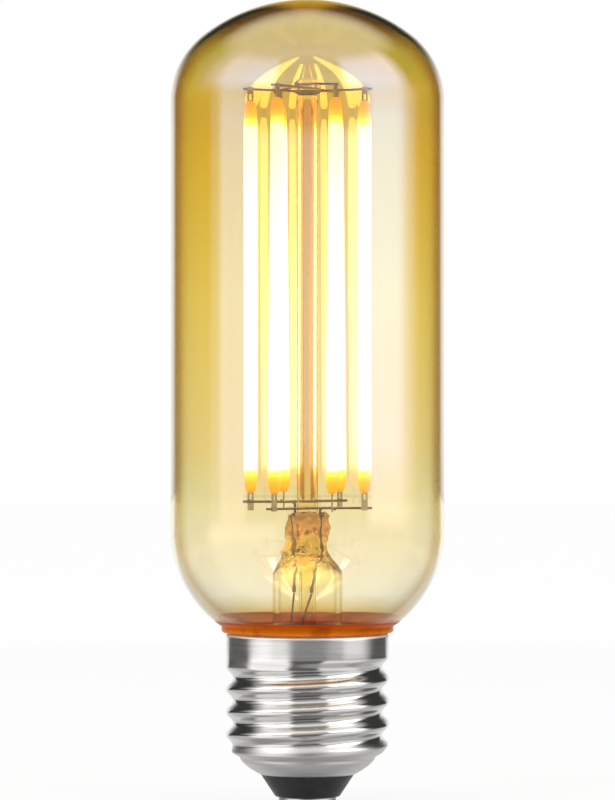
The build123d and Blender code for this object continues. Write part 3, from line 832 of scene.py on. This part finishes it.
# Painted shade: rays through the glass meet a floor glow that is dimmer close to the lamp.
far = span(tree, away.outputs["Value"], dim_r, clear_r, to_low=0.6, to_high=1.03, smooth=True)
bright = maths(tree, "MAXIMUM", far, path.outputs["Is Camera Ray"])
mostly = maths(tree, "MULTIPLY", path.outputs["Is Camera Ray"], 0.85)
seen = maths(tree, "MAXIMUM", mostly, path.outputs["Is Transmission Ray"])
wire_up(
    tree,
    (place.outputs["Object"], away.inputs[0]),
    (bright, white.inputs["Strength"]),
    (seen, blend.inputs["Fac"]),
    (shader.outputs["BSDF"], blend.inputs[1]),
    (white.outputs["Emission"], blend.inputs[2]),
    (blend.outputs["Shader"], tree.nodes["Material Output"].inputs["Surface"]),
)
floor.data.materials.append(pale)


# Studio: white behind the lamp, with soft panels round it that only glossy surfaces mirror,
# and a backdrop with brown wings that only rays through the glass meet.
# Two soft lamps stand at the front, to the left and to the right.
world = bpy.data.worlds.new("studio")
bpy.context.scene.world = world
world.use_nodes = True
tree = world.node_tree
place = tree.nodes.new("ShaderNodeTexCoord")
split = tree.nodes.new("ShaderNodeSeparateXYZ")
tree.links.new(place.outputs["Generated"], split.inputs["Vector"])
front = maths(tree, "MULTIPLY", split.outputs["Y"], -1.0)
bearing = maths(tree, "ARCTAN2", split.outputs["X"], front)
round_share = span(tree, bearing, -math.pi, math.pi)


def panels(*stops):
    """Colours round the lamp from (degrees from the camera, brightness or colour), positive to the right."""
    colours = [colour if isinstance(colour, tuple) else grey(colour) for _, colour in stops]
    places = [(deg + 180) / 360 for deg, _ in stops]
    return ramp(tree, round_share, list(zip(places, colours)))


def by_height(below, above, low_deg, high_deg):
    """Goes from one colour below to another above, between two angles over the horizon."""
    low, high = math.sin(math.radians(low_deg)), math.sin(math.radians(high_deg))
    return mixed(tree, span(tree, split.outputs["Z"], low, high, smooth=True), below, above)


def wall_panels(centre):
    """What the straight glass wall mirrors: a panel at each side, and one in front of a given level."""
    return panels(
        (-152, 0.42), (-144, 0.02), (-91, 0.02), (-86, 0.12), (-81, 0.15), (-75, 0.46), (-56, 0.46),
        (-50, centre), (26, centre), (40, centre * 1.8), (48, centre * 1.8),
        (57, 0.8), (78, 0.8), (84, 0.72), (89, 0.5), (94, 0.32), (99, 0.2),
        (104, 0.07), (110, 0.02), (144, 0.02), (152, 0.42),
    )


table = panels(
    (-96, 0.17), (-84, 0.3), (-30, 0.3), (-20, 0.17),
    (24, 0.17), (32, 0.26), (90, 0.26), (102, 0.17),
)
under = panels(
    (-150, 0.35), (-140, 0.27), (-96, 0.27), (-84, 0.55), (-30, 0.55), (-22, 0.06),
    (20, 0.06), (28, 0.45), (90, 0.45), (102, 0.27), (140, 0.27), (150, 0.35),
)
cap_level = panels(
    (-154, 0.42), (-146, 0.075), (-96, 0.08), (-84, 0.66), (-30, 0.66), (-20, 0.15),
    (24, 0.15), (32, 0.225), (90, 0.225), (104, 0.06), (146, 0.06), (154, 0.42),
)
behind_crown = (0.22, 0.13, 0.02)
upper = panels(
    (-177, behind_crown), (-172, 0.02), (-122, 0.02), (-104, 0.16), (-88, 0.5), (-78, 0.9),
    (-45, 1.0), (-32, 0.95), (-25, 0.28), (29, 0.28), (36, 1.1), (60, 1.2), (84, 1.15),
    (92, 0.5), (100, 0.02), (172, 0.02), (177, behind_crown),
)
ceiling = (0.5, 0.5, 0.5, 1)
mirrored_room = by_height(table, under, -55, -40)
mirrored_room = by_height(mirrored_room, cap_level, -14, -6)
mirrored_room = by_height(mirrored_room, wall_panels(0.06), -2.9, -1.5)
mirrored_room = by_height(mirrored_room, wall_panels(0.25), -1.1, -0.3)
mirrored_room = by_height(mirrored_room, wall_panels(0.08), 3.35, 3.7)
mirrored_room = by_height(mirrored_room, upper, 4.5, 24)
mirrored_room = by_height(mirrored_room, ceiling, 40, 60)
panel_gain = (2.4, 2.4, 2.4, 1)

brown = (0.42, 0.28, 0.13)
amber_glow = (0.7, 0.5, 0.2)
backdrop = panels(
    (-171, 1), (-166, brown), (-155, brown), (-142, 0.75), (-88, 0.9),
    (88, 0.9), (142, 0.75), (155, brown), (166, brown), (171, 1),
)
above = panels(
    (-177.5, amber_glow), (-174.5, 0.01), (-163, 0.01), (-158, 0.3), (-110, 0.3), (-80, 0.8),
    (80, 0.8), (110, 0.3), (158, 0.3), (163, 0.01), (174.5, 0.01), (177.5, amber_glow),
)
refracted = by_height(backdrop, above, 11, 16)

room_light = (0.8, 0.8, 0.8, 1)
path = tree.nodes.new("ShaderNodeLightPath")
glossy = multiplied(tree, mirrored_room, panel_gain)
room = mixed(tree, path.outputs["Is Glossy Ray"], room_light, glossy)
room = mixed(tree, path.outputs["Is Transmission Ray"], room, refracted)
room = mixed(tree, path.outputs["Is Camera Ray"], room, (1, 1, 1, 1))
tree.links.new(room, tree.nodes["Background"].inputs["Color"])

lamp_aside = 0.55
lamp_forward = 0.45
lamp_z = 0.45
lamp_w = 0.35
lamp_h = 0.6
lamp_tilt = math.radians(58)
lamp_turn = math.radians(51)
for side, watts in ((-1, 2.2), (1, 1.6)):
    bpy.ops.object.light_add(type="AREA", location=(side * lamp_aside, -lamp_forward, lamp_z))
    lamp = bpy.context.object
    lamp.data.shape = "RECTANGLE"
    lamp.data.size = lamp_w
    lamp.data.size_y = lamp_h
    lamp.data.energy = watts
    lamp.rotation_euler = (lamp_tilt, 0, side * lamp_turn)
    lamp.visible_glossy = False
    lamp.visible_camera = False
    lamp.visible_transmission = False


# Camera: level with the middle of the lamp, straight in front, with a long lens.
# The light may bounce often enough to pass all the walls of glass.
camera_distance = 0.7
frame_height = 0.128
view_z = 0.0646
bpy.ops.object.camera_add(location=(0, -camera_distance, view_z), rotation=(math.radians(90), 0, 0))
camera = bpy.context.object
camera.data.sensor_width = 36
camera.data.lens = camera.data.sensor_width * camera_distance / frame_height
camera.data.clip_start = 0.05
camera.data.clip_end = 20
scene = bpy.context.scene
scene.camera = camera
scene.view_settings.view_transform = "Standard"
scene.cycles.max_bounces = 32
scene.cycles.transmission_bounces = 28
scene.cycles.transparent_max_bounces = 24
scene.cycles.glossy_bounces = 8
